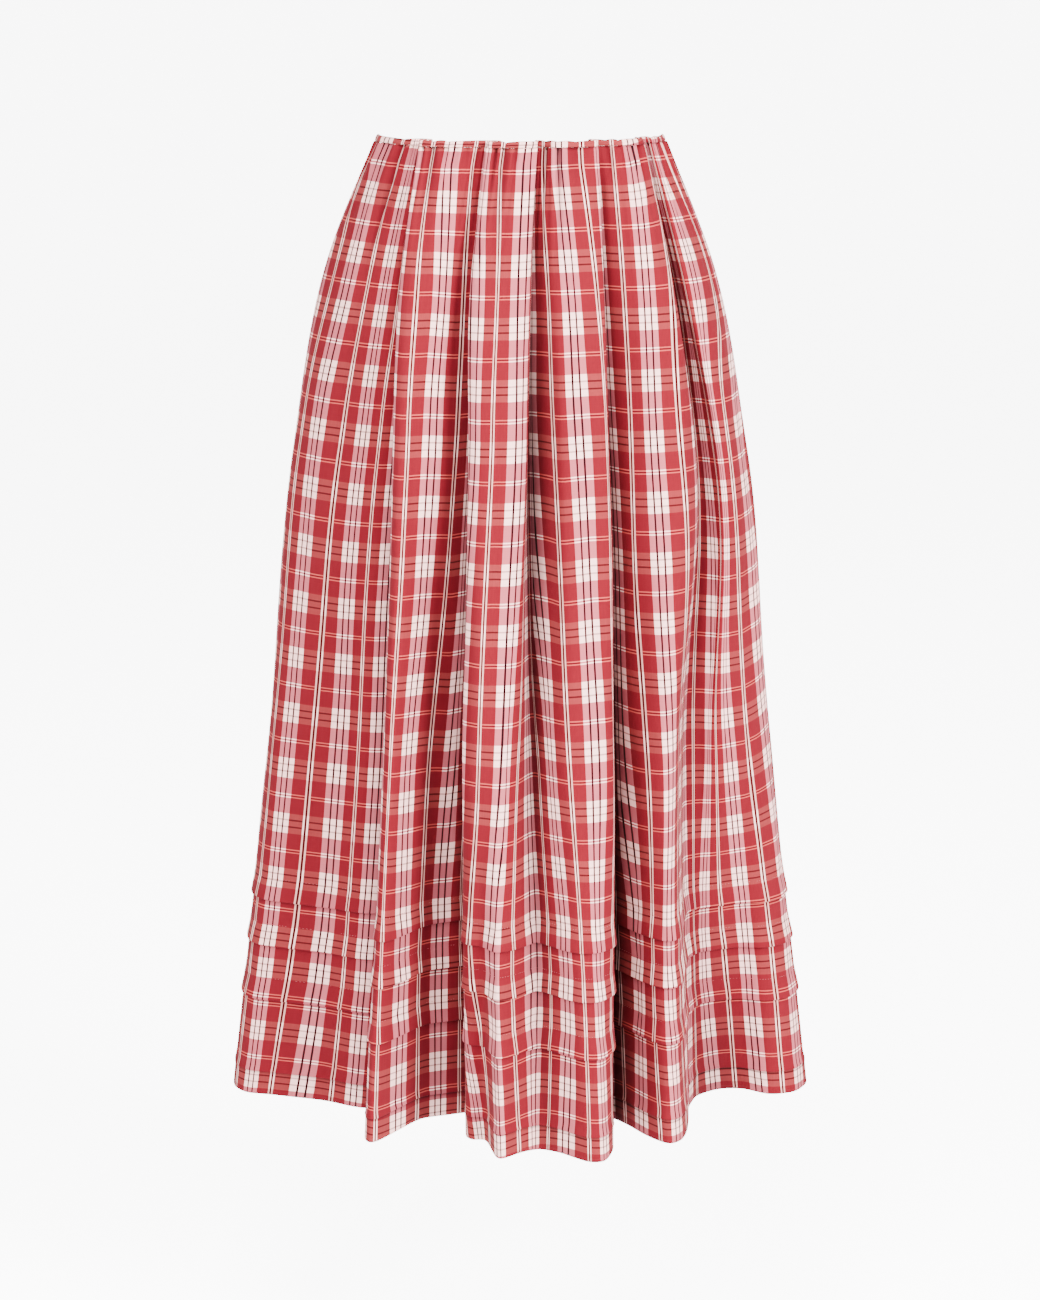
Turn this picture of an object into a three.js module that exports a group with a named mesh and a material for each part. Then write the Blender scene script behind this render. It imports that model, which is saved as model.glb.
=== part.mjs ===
// Gathered midi skirt, worn shape with nobody in it. Millimetres, +Z up, front faces -Y.
// The origin is the middle of the waist at its top edge, where the skirt is held.
import * as THREE from "three";

// Driving sizes
const LENGTH = 850; // waist to hem
const CLOTH = 1.2; // wall of the cloth
const GAP = 0.3; // between sewn pieces
const SEAM_CLOTH = 0.9; // cloth left free on each side of a side seam
const ROUNDING = 17; // cloth over which a fold turns
const CASING_HEIGHT = 5.5;
const CASING_OUT = 0.9;
const CASING_IN = 2.3;
const HEM_BAND = 21;
const BAND_LIFT = 0.2;
const PANEL_EDGE_LIFT = 1.1; // the panel's lower edge laps the band
const TUCK_FLAP = 20;
const TUCK_LIFT = 1.9;
const TUCK_STEP = 0.8;
const TUCK_EDGES = [669, 711, 761];
const FRONT_CLOTH = 1152; // one panel's width of cloth at the hem
const BACK_DIP = 15; // how far the waist edge dips at the middle of the back
const DIP_REACH = 300; // drop at which the dip has faded out
const WHOLE_CLOTH = 2 * FRONT_CLOTH;

// The five levels where the folds are set out, as drop below the waist
const LEVELS = [0, 110, 270, 510, LENGTH];

// Front folds. Columns: place, cloth past the left seam,
// across (to the right) at the five levels, forward at the five levels
const FRONT_FOLDS = [
  ["left seam", 0, [-121.5, -166, -197, -221, -260], [0, -2, -8, -15, -27]],
  ["left side", 24, [-118, -163, -194, -219, -257], [20, 20, 12, 6, -4]],
  ["left turn", 48, [-109, -153, -185, -210, -245], [38, 42, 32, 22, 14]],
  ["left panel", 78, [-98, -136, -168, -190, -222], [52, 64, 52, 36, 18]],
  ["left panel middle", 118, [-88, -116, -138, -156, -172], [60, 80, 74, 57, 35]],
  ["left panel end", 152, [-81, -101, -115, -130, -144], [61, 85, 84, 69, 53]],
  ["first valley", 182, [-73, -86, -90, -99, -117], [63, 75, 71, 64, 60]],
  ["first edge", 244, [-84, -101, -108, -117, -136], [76, 104, 126, 136, 130]],
  ["first crest", 264, [-76, -93, -100, -110, -128], [81, 114, 138, 152, 149]],
  ["first slope", 290, [-58, -78, -85, -95, -106], [84, 115, 131, 136, 112]],
  ["second panel", 322, [-41, -60, -66, -74, -86], [85, 110, 118, 108, 80]],
  ["second panel end", 362, [-28, -42, -46, -52, -54], [84, 98, 102, 94, 69]],
  ["second valley", 388, [-15, -21, -27, -34, -36], [82, 90, 85, 77, 62]],
  ["second edge", 452, [-28, -43, -45, -50, -48], [92, 120, 143, 156, 126]],
  ["second crest", 470, [-20, -34, -36, -41, -41], [97, 128, 153, 168, 138]],
  ["second notch", 492, [-10, -24, -27, -33, -29], [98, 129, 154, 171, 133]],
  ["third crest", 532, [6, -8, -12, -18, -19], [97, 128, 152, 173, 189]],
  ["third edge", 556, [16, 11, 7, -3, 1], [93, 122, 145, 165, 166]],
  ["third valley", 590, [13, 7, 5, 10, 17], [80, 94, 101, 131, 158]],
  ["fourth slope", 624, [22, 20, 24, 24, 35], [84, 107, 123, 154, 168]],
  ["fourth crest", 648, [29, 29, 34, 38, 58], [91, 121, 146, 171, 192]],
  ["fourth panel", 674, [42, 46, 51, 57, 73], [89, 121, 147, 171, 190]],
  ["fourth edge", 700, [65, 70, 76, 80, 80], [80, 112, 138, 158, 160]],
  ["fourth valley", 770, [57, 61, 67, 74, 78], [67, 76, 77, 78, 76]],
  ["fifth slope", 802, [72, 80, 88, 92, 96], [67, 90, 104, 112, 101]],
  ["fifth panel", 830, [81, 95, 105, 107, 112], [67, 97, 117, 132, 130]],
  ["fifth crest", 853, [89, 110, 123, 121, 128], [63, 98, 119, 143, 149]],
  ["fifth turn", 874, [97, 121, 139, 131, 140], [56, 92, 111, 137, 136]],
  ["fifth edge", 896, [103, 126, 147, 134, 146], [47, 82, 97, 118, 110]],
  ["fifth valley", 950, [97, 124, 150, 142, 149], [37, 51, 54, 60, 52]],
  ["sixth slope", 988, [103, 131, 162, 156, 157], [31, 59, 65, 60, 21]],
  ["sixth edge", 1018, [109, 135, 169, 168, 178], [33, 74, 75, 66, 2]],
  ["sixth crest", 1042, [113, 144, 181, 188, 200], [30, 71, 64, 50, 1]],
  ["right panel", 1068, [116, 154, 190, 205, 222], [24, 53, 44, 35, 19]],
  ["right turn", 1096, [118, 161, 195, 215, 247], [18, 33, 25, 19, 12]],
  ["right side", 1126, [121, 165, 196, 219, 259], [9, 13, 5, 0, -14]],
  ["right seam", 1152, [121.5, 166, 195, 219, 259], [0, -4, -10, -17, -36]],
];

// The oval that the back hangs on: half width and depth at the five levels
const BACK_HALF_WIDTH = [121.5, 166, 196, 220, 259];
const BACK_DEPTH = [92, 132, 158, 177, 196];
// How far behind the middle the two side seams hang at the five levels
const RIGHT_SEAM_BACK = [0, 4, 10, 17, 36];
const LEFT_SEAM_BACK = [0, 2, 8, 15, 27];

// Back folds, right to left. Columns: place, cloth past the right seam,
// share of the way round at the waist and at the hem, depth in from the oval at the five levels
const BACK_FOLDS = [
  ["right side", 34, 0.03, 0.02, [0, 0, 1, 1, 2]],
  ["right turn", 76, 0.075, 0.07, [0, 2, 3, 4, 5]],
  ["first edge", 128, 0.125, 0.14, [3, 3, 4, 5, 6]],
  ["first valley", 192, 0.133, 0.13, [13, 37, 57, 71, 80]],
  ["first slope", 244, 0.165, 0.18, [9, 17, 27, 36, 44]],
  ["second crest", 292, 0.2, 0.215, [1, 2, 3, 3, 4]],
  ["second panel", 340, 0.262, 0.29, [2, 5, 7, 8, 10]],
  ["second valley", 392, 0.288, 0.333, [12, 33, 51, 64, 74]],
  ["third edge", 450, 0.312, 0.348, [3, 5, 5, 5, 2]],
  ["third crest", 474, 0.335, 0.372, [0, 0, 0, 0, 0]],
  ["third panel", 524, 0.395, 0.425, [2, 6, 10, 14, 16]],
  ["third valley", 566, 0.44, 0.47, [12, 31, 47, 58, 66]],
  ["fourth crest", 626, 0.475, 0.505, [1, 2, 2, 2, 3]],
  ["fourth edge", 664, 0.54, 0.555, [2, 3, 4, 5, 5]],
  ["fourth valley", 730, 0.53, 0.548, [14, 38, 59, 74, 84]],
  ["fourth slope", 780, 0.58, 0.6, [9, 17, 26, 33, 40]],
  ["fifth crest", 826, 0.63, 0.64, [1, 1, 2, 2, 2]],
  ["fifth panel", 872, 0.69, 0.7, [3, 6, 9, 12, 14]],
  ["fifth valley", 918, 0.732, 0.745, [13, 35, 53, 66, 76]],
  ["sixth edge", 976, 0.735, 0.752, [4, 4, 4, 4, 2]],
  ["sixth crest", 1002, 0.763, 0.782, [0, 0, 0, 0, 0]],
  ["sixth panel", 1044, 0.84, 0.855, [1, 5, 8, 11, 14]],
  ["left turn", 1086, 0.905, 0.92, [1, 3, 4, 5, 7]],
  ["left side", 1122, 0.962, 0.97, [0, 1, 1, 1, 3]],
];

// A fold line of the front, as its cloth place and its plan points at the five levels
function frontFold([, cloth, across, forward]) {
  return { cloth, x: across, y: forward.map((v) => -v) };
}

// A fold line of the back, worked out on the oval
function backFold([, cloth, waistShare, hemShare, depth]) {
  const x = [];
  const y = [];
  LEVELS.forEach((level, k) => {
    const share = waistShare + (hemShare - waistShare) * (level / LENGTH);
    const a = BACK_HALF_WIDTH[k];
    const b = BACK_DEPTH[k];
    const c = Math.cos(Math.PI * share);
    const s = Math.sin(Math.PI * share);
    const size = Math.hypot(b * c, a * s);
    const seam = share < 0.5 ? RIGHT_SEAM_BACK[k] : LEFT_SEAM_BACK[k];
    x.push(a * c - (depth[k] * b * c) / size);
    y.push(b * s - (depth[k] * a * s) / size + seam * c * c);
  });
  return { cloth: FRONT_CLOTH + cloth, x, y };
}

const FOLDS = [...FRONT_FOLDS.map(frontFold), ...BACK_FOLDS.map(backFold)];

// A value between the levels on a smooth curve through all five
function between(values, drop) {
  const last = LEVELS.length - 1;
  const rise = (k) => (values[k + 1] - values[k]) / (LEVELS[k + 1] - LEVELS[k]);
  const slope = (k) => {
    if (k === 0) return rise(0);
    if (k === last) return rise(last - 1);
    const below = LEVELS[k + 1] - LEVELS[k];
    const above = LEVELS[k] - LEVELS[k - 1];
    return (rise(k - 1) * below + rise(k) * above) / (below + above);
  };
  let k = 0;
  while (k < last - 1 && drop >= LEVELS[k + 1]) k += 1;
  const span = LEVELS[k + 1] - LEVELS[k];
  const t = (drop - LEVELS[k]) / span;
  const t2 = t * t;
  const t3 = t2 * t;
  return (
    (2 * t3 - 3 * t2 + 1) * values[k] +
    (t3 - 2 * t2 + t) * span * slope(k) +
    (3 * t2 - 2 * t3) * values[k + 1] +
    (t3 - t2) * span * slope(k + 1)
  );
}

// The folded section at one drop: a function of the cloth place, before its folds are rounded
function sectionAt(drop) {
  const knots = FOLDS.map((f) => [f.cloth, between(f.x, drop), between(f.y, drop)]);
  knots.push([WHOLE_CLOTH, knots[0][1], knots[0][2]]);
  return (cloth) => {
    const place = ((cloth % WHOLE_CLOTH) + WHOLE_CLOTH) % WHOLE_CLOTH;
    let i = 0;
    while (i < knots.length - 2 && place > knots[i + 1][0]) i += 1;
    const [c0, x0, y0] = knots[i];
    const [c1, x1, y1] = knots[i + 1];
    const t = (place - c0) / (c1 - c0);
    return [x0 + (x1 - x0) * t, y0 + (y1 - y0) * t];
  };
}

// The same section with each fold turned over a length of cloth
function roundedAt(drop) {
  const section = sectionAt(drop);
  const steps = [-0.75, -0.5, -0.25, 0, 0.25, 0.5, 0.75];
  const total = steps.reduce((sum, o) => sum + 1 - Math.abs(o), 0);
  return (cloth) => {
    let x = 0;
    let y = 0;
    for (const o of steps) {
      const p = section(cloth + o * ROUNDING);
      x += ((1 - Math.abs(o)) * p[0]) / total;
      y += ((1 - Math.abs(o)) * p[1]) / total;
    }
    return [x, y];
  };
}

// How much lower than its drop a point of the back hangs
function dipAt(y, drop) {
  const share = Math.min(1, Math.max(0, y / BACK_DEPTH[0]));
  const fade = Math.max(0, 1 - drop / DIP_REACH);
  return BACK_DIP * share * fade * fade;
}

// Points of one row of cloth: each column moved in (minus) or out (plus) across the cloth
function rowPoints(columns, drop, out) {
  const at = roundedAt(drop);
  return columns.map((cloth) => {
    const [x, y] = at(cloth);
    const [xa, ya] = at(cloth - 5);
    const [xb, yb] = at(cloth + 5);
    const size = Math.hypot(xb - xa, yb - ya);
    return [x + (out * (yb - ya)) / size, y - (out * (xb - xa)) / size, -drop - dipAt(y, drop)];
  });
}

// Two columns about each fold line between two places of cloth, and one at each end
function columnsBetween(from, to) {
  const turn = 7;
  const marks = [from, to];
  for (const fold of FOLDS)
    for (const mark of [fold.cloth - turn, fold.cloth + turn])
      if (mark > from + turn && mark < to - turn) marks.push(mark);
  marks.sort((a, b) => a - b);
  return marks.filter((m, i) => i === 0 || m - marks[i - 1] > 5);
}

// Points and triangles of one solid
class Shape {
  constructor() {
    this.points = [];
    this.triangles = [];
  }
  add(point) {
    return this.points.push(point) - 1;
  }
  addRow(points) {
    return points.map((p) => this.add(p));
  }
  quad(a, b, c, d) {
    this.triangles.push(a, b, c, a, c, d);
  }
  mesh(name) {
    const geometry = new THREE.BufferGeometry();
    geometry.setAttribute("position", new THREE.Float32BufferAttribute(this.points.flat(), 3));
    geometry.setIndex(this.triangles);
    geometry.computeVertexNormals();
    const mesh = new THREE.Mesh(geometry, new THREE.MeshStandardMaterial({ color: 0xc4434a }));
    mesh.name = name;
    return mesh;
  }
}

// Join two columns of different row counts into one end face
function closeEnd(shape, outer, inner, outerDrops, innerDrops, flip) {
  let i = 0;
  let j = 0;
  while (i < outer.length - 1 || j < inner.length - 1) {
    const nextOuter = i < outer.length - 1 ? outerDrops[i + 1] : Infinity;
    const nextInner = j < inner.length - 1 ? innerDrops[j + 1] : Infinity;
    let face;
    if (nextOuter <= nextInner) {
      face = [outer[i], inner[j], outer[i + 1]];
      i += 1;
    } else {
      face = [inner[j], inner[j + 1], outer[i]];
      j += 1;
    }
    shape.triangles.push(...(flip ? face.reverse() : face));
  }
}

// A panel of cloth between two places: an outer face with its ledges, a plain inner face and edges.
// outerRows are [drop, lift] pairs; innerDrops are the drops of the plain face.
function clothPanel(name, from, to, outerRows, innerDrops) {
  const columns = columnsBetween(from, to);
  const shape = new Shape();
  const outer = outerRows.map(([drop, lift]) => shape.addRow(rowPoints(columns, drop, lift)));
  const inner = innerDrops.map((drop) => shape.addRow(rowPoints(columns, drop, -CLOTH)));
  const last = columns.length - 1;
  for (let i = 0; i < last; i++) {
    for (let j = 0; j < outer.length - 1; j++)
      shape.quad(outer[j + 1][i], outer[j + 1][i + 1], outer[j][i + 1], outer[j][i]);
    for (let j = 0; j < inner.length - 1; j++)
      shape.quad(inner[j][i], inner[j][i + 1], inner[j + 1][i + 1], inner[j + 1][i]);
    shape.quad(outer[0][i], outer[0][i + 1], inner[0][i + 1], inner[0][i]);
    const lowOuter = outer[outer.length - 1];
    const lowInner = inner[inner.length - 1];
    shape.quad(lowInner[i], lowInner[i + 1], lowOuter[i + 1], lowOuter[i]);
  }
  const outerDrops = outerRows.map((row) => row[0]);
  const column = (rows, i) => rows.map((row) => row[i]);
  closeEnd(shape, column(outer, 0), column(inner, 0), outerDrops, innerDrops, false);
  closeEnd(shape, column(outer, last), column(inner, last), outerDrops, innerDrops, true);
  return shape.mesh(name);
}

// The narrow rolled waist casing, a closed ring that follows the gathers
function waistCasing(name) {
  const columns = columnsBetween(0, WHOLE_CLOTH).slice(0, -1);
  // Around the roll: drop below the top edge, and distance out from the cloth line
  const roll = [
    [0, -0.9],
    [CASING_HEIGHT * 0.25, CASING_OUT],
    [CASING_HEIGHT * 0.8, CASING_OUT],
    [CASING_HEIGHT, -0.3],
    [CASING_HEIGHT, -CASING_IN + 0.4],
    [CASING_HEIGHT * 0.3, -CASING_IN],
  ];
  const shape = new Shape();
  const rings = roll.map(([drop, out]) => shape.addRow(rowPoints(columns, drop, out)));
  for (let i = 0; i < columns.length; i++) {
    const next = (i + 1) % columns.length;
    for (let k = 0; k < rings.length; k++) {
      const a = rings[k];
      const b = rings[(k + 1) % rings.length];
      shape.quad(b[i], b[next], a[next], a[i]);
    }
  }
  return shape.mesh(name);
}

// Rows of a panel's outer face, with the three tucks standing out as ledges that face down
function panelRows() {
  const rows = [CASING_HEIGHT + GAP, 30, 65, 110, 160, 215, 270, 345, 425, 510, 580].map((d) => [d, 0]);
  for (const edge of TUCK_EDGES) {
    rows.push([edge - TUCK_FLAP, 0]);
    rows.push([edge - TUCK_FLAP + 5, TUCK_LIFT * 0.7]);
    rows.push([edge, TUCK_LIFT]);
    rows.push([edge + TUCK_STEP, 0]);
  }
  rows.push([LENGTH - HEM_BAND - 6, 0]);
  rows.push([LENGTH - HEM_BAND - GAP, PANEL_EDGE_LIFT]);
  return rows;
}

const PANEL_INNER_DROPS = panelRows()
  .filter(([, lift]) => lift === 0)
  .map(([drop]) => drop)
  .filter((drop) => !TUCK_EDGES.some((edge) => drop === edge + TUCK_STEP))
  .filter((drop) => drop !== LENGTH - HEM_BAND - 6)
  .concat(LENGTH - HEM_BAND - GAP);
const BAND_ROWS = [
  [LENGTH - HEM_BAND, BAND_LIFT],
  [LENGTH, BAND_LIFT],
];
const BAND_INNER_DROPS = [LENGTH - HEM_BAND, LENGTH];

const FRONT_FROM = SEAM_CLOTH;
const FRONT_TO = FRONT_CLOTH - SEAM_CLOTH;
const BACK_FROM = FRONT_CLOTH + SEAM_CLOTH;
const BACK_TO = WHOLE_CLOTH - SEAM_CLOTH;

const skirt = new THREE.Group();
skirt.name = "gathered_midi_skirt";
skirt.add(clothPanel("front_panel", FRONT_FROM, FRONT_TO, panelRows(), PANEL_INNER_DROPS));
skirt.add(clothPanel("back_panel", BACK_FROM, BACK_TO, panelRows(), PANEL_INNER_DROPS));
skirt.add(clothPanel("hem_band_front", FRONT_FROM, FRONT_TO, BAND_ROWS, BAND_INNER_DROPS));
skirt.add(clothPanel("hem_band_back", BACK_FROM, BACK_TO, BAND_ROWS, BAND_INNER_DROPS));
skirt.add(waistCasing("waist_casing"));
export default skirt;
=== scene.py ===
"""Gathered midi skirt in red and white plaid cotton, as it hangs with nobody in it.

The cloth is set out by its folds: each fold line has a place on the cloth and a place in plan at five
levels below the waist. Between two fold lines the section is straight, and each fold is turned over a short
length of cloth. Metres in the scene, millimetres in the tables.
"""
import logging
import math
from dataclasses import dataclass, field
from enum import Enum
from typing import Sequence

import bmesh
import bpy
import numpy as np
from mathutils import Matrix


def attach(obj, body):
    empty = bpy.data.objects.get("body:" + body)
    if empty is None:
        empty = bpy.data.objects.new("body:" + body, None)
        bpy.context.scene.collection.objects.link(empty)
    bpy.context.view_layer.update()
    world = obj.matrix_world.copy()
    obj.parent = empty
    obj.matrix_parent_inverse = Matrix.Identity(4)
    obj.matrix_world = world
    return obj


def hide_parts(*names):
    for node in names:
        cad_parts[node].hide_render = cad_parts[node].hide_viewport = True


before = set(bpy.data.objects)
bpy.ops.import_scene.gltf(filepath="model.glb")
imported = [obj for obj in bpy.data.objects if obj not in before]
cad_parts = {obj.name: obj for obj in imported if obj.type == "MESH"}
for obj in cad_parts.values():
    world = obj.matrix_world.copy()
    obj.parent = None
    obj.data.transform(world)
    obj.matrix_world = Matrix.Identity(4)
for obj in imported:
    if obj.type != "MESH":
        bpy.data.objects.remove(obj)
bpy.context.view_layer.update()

LOG = logging.getLogger("skirt")
MM = 0.001
LENGTH = 850.0
FRONT_CLOTH = 1152.0
WHOLE_CLOTH = 2 * FRONT_CLOTH
ROUNDING = 17.0
CASING_HEIGHT = 5.5
HEM_BAND = 21.0
TUCK_FLAP = 20.0
TUCK_LIFT = 2.2
TUCK_EDGES = (669.0, 711.0, 761.0)
# Cloth that shows of each tier, waist to hem
TIER_LENGTHS = (669.0, 56.0, 64.0, 82.0)
# Weft place on the cloth at the foot of the first tier, and at the top of each tier below it and of the hem
# band, past the cloth taken up above it
TIER_WEFT = (672.0, 718.0, 780.0, 872.0, 945.5)
# Cloth in each millimetre of drop, as the skirt flares
FLARE = 1.0075
# From a side seam to the first column of points
SEAM_GAP = 0.7
# Painted shadow under a ledge: how far below the ledge it begins to lift, and over what length it goes
LEDGE_PAINTED_SHADOW_FOOT = 2.2
LEDGE_PAINTED_SHADOW_FADE = 3.2
# A drop above the skirt, for a piece that comes out from no ledge
NO_LEDGE = -99.0
BACK_DIP = 15.0
DIP_REACH = 300.0
LEVELS = np.array([0.0, 110.0, 270.0, 510.0, LENGTH])

# Front folds: place, cloth past the left seam, across at the five levels, forward at the five levels
FRONT_FOLDS = (
    ("left seam", 0, (-121.5, -166, -197, -221, -260), (0, -2, -8, -15, -27)),
    ("left side", 24, (-118, -163, -194, -219, -257), (20, 20, 12, 6, -4)),
    ("left turn", 48, (-109, -153, -185, -210, -245), (38, 42, 32, 22, 14)),
    ("left panel", 78, (-98, -136, -168, -190, -222), (52, 64, 52, 36, 18)),
    ("left panel middle", 118, (-88, -116, -138, -156, -172), (60, 80, 74, 57, 35)),
    ("left panel end", 152, (-81, -101, -115, -130, -144), (61, 85, 84, 69, 53)),
    ("first valley", 182, (-73, -86, -90, -99, -117), (63, 75, 71, 64, 60)),
    ("first edge", 244, (-84, -101, -108, -117, -136), (76, 104, 126, 136, 130)),
    ("first crest", 264, (-76, -93, -100, -110, -128), (81, 114, 138, 152, 149)),
    ("first slope", 290, (-58, -78, -85, -95, -106), (84, 115, 131, 136, 112)),
    ("second panel", 322, (-41, -60, -66, -74, -86), (85, 110, 118, 108, 80)),
    ("second panel end", 362, (-28, -42, -46, -52, -54), (84, 98, 102, 94, 69)),
    ("second valley", 388, (-15, -21, -27, -34, -36), (82, 90, 85, 77, 62)),
    ("second edge", 452, (-28, -43, -45, -50, -48), (92, 120, 143, 156, 126)),
    ("second crest", 470, (-20, -34, -36, -41, -41), (97, 128, 153, 168, 138)),
    ("second notch", 492, (-10, -24, -27, -33, -29), (98, 129, 154, 171, 133)),
    ("third crest", 532, (6, -8, -12, -18, -19), (97, 128, 152, 173, 189)),
    ("third edge", 556, (16, 11, 7, -3, 1), (93, 122, 145, 165, 166)),
    ("third valley", 590, (13, 7, 5, 10, 17), (80, 94, 101, 131, 158)),
    ("fourth slope", 624, (22, 20, 24, 24, 35), (84, 107, 123, 154, 168)),
    ("fourth crest", 648, (29, 29, 34, 38, 58), (91, 121, 146, 171, 192)),
    ("fourth panel", 674, (42, 46, 51, 57, 73), (89, 121, 147, 171, 190)),
    ("fourth edge", 700, (65, 70, 76, 80, 80), (80, 112, 138, 158, 160)),
    ("fourth valley", 770, (57, 61, 67, 74, 78), (67, 76, 77, 78, 76)),
    ("fifth slope", 802, (72, 80, 88, 92, 96), (67, 90, 104, 112, 101)),
    ("fifth panel", 830, (81, 95, 105, 107, 112), (67, 97, 117, 132, 130)),
    ("fifth crest", 853, (89, 110, 123, 121, 128), (63, 98, 119, 143, 149)),
    ("fifth turn", 874, (97, 121, 139, 131, 140), (56, 92, 111, 137, 136)),
    ("fifth edge", 896, (103, 126, 147, 134, 146), (47, 82, 97, 118, 110)),
    ("fifth valley", 950, (97, 124, 150, 142, 149), (37, 51, 54, 60, 52)),
    ("sixth slope", 988, (103, 131, 162, 156, 157), (31, 59, 65, 60, 21)),
    ("sixth edge", 1018, (109, 135, 169, 168, 178), (33, 74, 75, 66, 2)),
    ("sixth crest", 1042, (113, 144, 181, 188, 200), (30, 71, 64, 50, 1)),
    ("right panel", 1068, (116, 154, 190, 205, 222), (24, 53, 44, 35, 19)),
    ("right turn", 1096, (118, 161, 195, 215, 247), (18, 33, 25, 19, 12)),
    ("right side", 1126, (121, 165, 196, 219, 259), (9, 13, 5, 0, -14)),
    ("right seam", 1152, (121.5, 166, 195, 219, 259), (0, -4, -10, -17, -36)),
)

# Back folds, right to left: place, cloth past the right seam, share of the way round at the waist and at
# the hem, depth in from the oval at the five levels
BACK_FOLDS = (
    ("right side", 34, 0.03, 0.02, (0, 0, 1, 1, 2)),
    ("right turn", 76, 0.075, 0.07, (0, 2, 3, 4, 5)),
    ("first edge", 128, 0.125, 0.14, (3, 3, 4, 5, 6)),
    ("first valley", 192, 0.133, 0.13, (13, 37, 57, 71, 80)),
    ("first slope", 244, 0.165, 0.18, (9, 17, 27, 36, 44)),
    ("second crest", 292, 0.2, 0.215, (1, 2, 3, 3, 4)),
    ("second panel", 340, 0.262, 0.29, (2, 5, 7, 8, 10)),
    ("second valley", 392, 0.288, 0.333, (12, 33, 51, 64, 74)),
    ("third edge", 450, 0.312, 0.348, (3, 5, 5, 5, 2)),
    ("third crest", 474, 0.335, 0.372, (0, 0, 0, 0, 0)),
    ("third panel", 524, 0.395, 0.425, (2, 6, 10, 14, 16)),
    ("third valley", 566, 0.44, 0.47, (12, 31, 47, 58, 66)),
    ("fourth crest", 626, 0.475, 0.505, (1, 2, 2, 2, 3)),
    ("fourth edge", 664, 0.54, 0.555, (2, 3, 4, 5, 5)),
    ("fourth valley", 730, 0.53, 0.548, (14, 38, 59, 74, 84)),
    ("fourth slope", 780, 0.58, 0.6, (9, 17, 26, 33, 40)),
    ("fifth crest", 826, 0.63, 0.64, (1, 1, 2, 2, 2)),
    ("fifth panel", 872, 0.69, 0.7, (3, 6, 9, 12, 14)),
    ("fifth valley", 918, 0.732, 0.745, (13, 35, 53, 66, 76)),
    ("sixth edge", 976, 0.735, 0.752, (4, 4, 4, 4, 2)),
    ("sixth crest", 1002, 0.763, 0.782, (0, 0, 0, 0, 0)),
    ("sixth panel", 1044, 0.84, 0.855, (1, 5, 8, 11, 14)),
    ("left turn", 1086, 0.905, 0.92, (1, 3, 4, 5, 7)),
    ("left side", 1122, 0.962, 0.97, (0, 1, 1, 1, 3)),
)
BACK_HALF_WIDTH = np.array([121.5, 166, 196, 220, 259])
BACK_DEPTH = np.array([92.0, 132, 158, 177, 196])
RIGHT_SEAM_BACK = np.array([0.0, 4, 10, 17, 36])
LEFT_SEAM_BACK = np.array([0.0, 2, 8, 15, 27])

# Gathers under the waist: cloth past the left seam, half width of cloth, depth, drop where it fades out
GATHERS = (
    (16, 6, 1.2, 50), (48, 7, 1.6, 60), (84, 6, 3.2, 150), (118, 6, 1.6, 60), (148, 7, 1.8, 60),
    (206, 8, 2.0, 80), (254, 6, 1.3, 60), (272, 6, 3.4, 120), (288, 5, 2.4, 35), (304, 6, 1.4, 60),
    (323, 6, 1.6, 40), (344, 6, 1.8, 70), (420, 8, 2.0, 90), (470, 5, 2.6, 60), (489, 6, 3.2, 150),
    (512, 6, 1.5, 50), (538, 6, 1.4, 45), (574, 8, 2.0, 90), (620, 6, 2.2, 60), (652, 8, 3.6, 140),
    (677, 6, 2.4, 70), (693, 5, 1.6, 40), (744, 8, 2.0, 80), (800, 5, 2.2, 50), (831, 6, 2.0, 60),
    (857, 6, 1.8, 50), (882, 6, 2.2, 60), (920, 8, 2.0, 70), (966, 8, 2.0, 80), (998, 7, 1.8, 60),
    (1024, 6, 2.0, 60), (1050, 6, 1.8, 90), (1073, 6, 2.2, 110), (1100, 7, 1.6, 80), (1128, 7, 1.5, 60),
)

# Long soft creases: cloth, lean of cloth from top to foot, half width, depth, drop at the top and the foot
CREASES = (
    (99, -16, 9, 1.8, 20, 330), (60, 6, 14, 1.6, 180, 620), (128, 4, 16, 2.2, 300, 660),
    (283, 6, 9, 1.4, 120, 420), (318, 8, 12, 1.6, 260, 620), (345, -5, 12, 1.8, 380, 800),
    (499, 4, 8, 1.6, 20, 150), (516, -4, 9, 1.0, 180, 480), (550, 2, 8, 1.2, 90, 330),
    (662, 5, 10, 1.3, 60, 380), (690, -6, 9, 1.2, 240, 560), (640, 8, 10, 1.2, 420, 760),
    (818, 8, 12, 1.8, 160, 520), (866, -9, 10, 1.4, 60, 330), (845, 6, 10, 1.2, 480, 800),
    (1000, 12, 12, 2.0, 260, 640), (1058, 10, 12, 1.8, 200, 560), (1088, -8, 10, 1.5, 120, 420),
    (1076, 12, 14, 1.8, 520, 820), (24, 5, 12, 1.4, 360, 760), (1120, -6, 12, 1.5, 460, 800),
)
BACK_SHIFT = 1157.0

# Levels of the two tables below
WEAVE_LEVELS = np.array([20.0, 125, 220, 370, 530, 690, LENGTH])

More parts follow.
